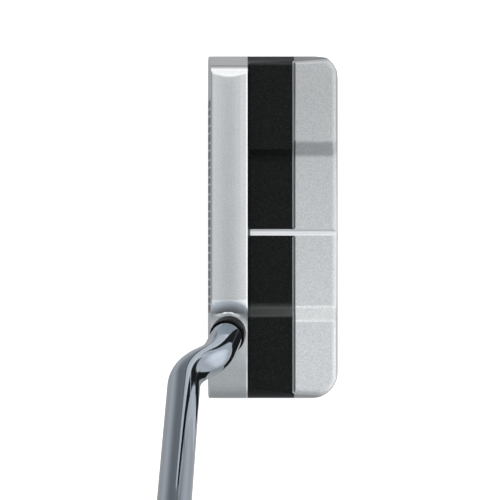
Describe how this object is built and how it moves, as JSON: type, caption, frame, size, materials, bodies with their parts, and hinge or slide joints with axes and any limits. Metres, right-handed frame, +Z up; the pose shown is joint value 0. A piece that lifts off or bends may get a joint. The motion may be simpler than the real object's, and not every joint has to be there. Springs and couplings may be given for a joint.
{
  "type": "mallet putter",
  "caption": "Right-handed wide-blade mallet putter: satin steel head with a black band and sight groove, lattice face insert, double-bend stepped chrome shaft and rubber pistol grip.",
  "frame": {"origin": "centre of the flat land of the sole, with the putter at address", "axes": "+X from the face towards the rear, +Y from the heel towards the toe, +Z up"},
  "size_m": [0.0704, 0.3829, 0.8141],
  "materials": {
    "satin_steel": "cast stainless steel, bead-blasted satin, with a matte black painted band behind the topline",
    "insert_steel": "etched stainless lattice",
    "elastomer": "matte moulded elastomer",
    "adhesive_film": "translucent film",
    "weight_steel": "turned stainless steel",
    "ferrule_plastic": "polished black",
    "chrome_plate": "bright chrome plate on steel tube",
    "epoxy": "cured epoxy",
    "grip_tape": "paper-backed adhesive tape",
    "grip_rubber": "matte black moulded rubber"
  },
  "bodies": {
    "root": {"head_body": "satin_steel", "hinge_plate": "insert_steel", "elastomer_core": "elastomer", "insert_tape": "adhesive_film", "toe_weight": "weight_steel", "heel_weight": "weight_steel", "ferrule": "ferrule_plastic", "shaft": "chrome_plate", "shaft_bond": "epoxy", "grip_tape": "grip_tape", "grip_sleeve": "grip_rubber", "grip_cap": "grip_rubber"}
  },
  "joints": []
}
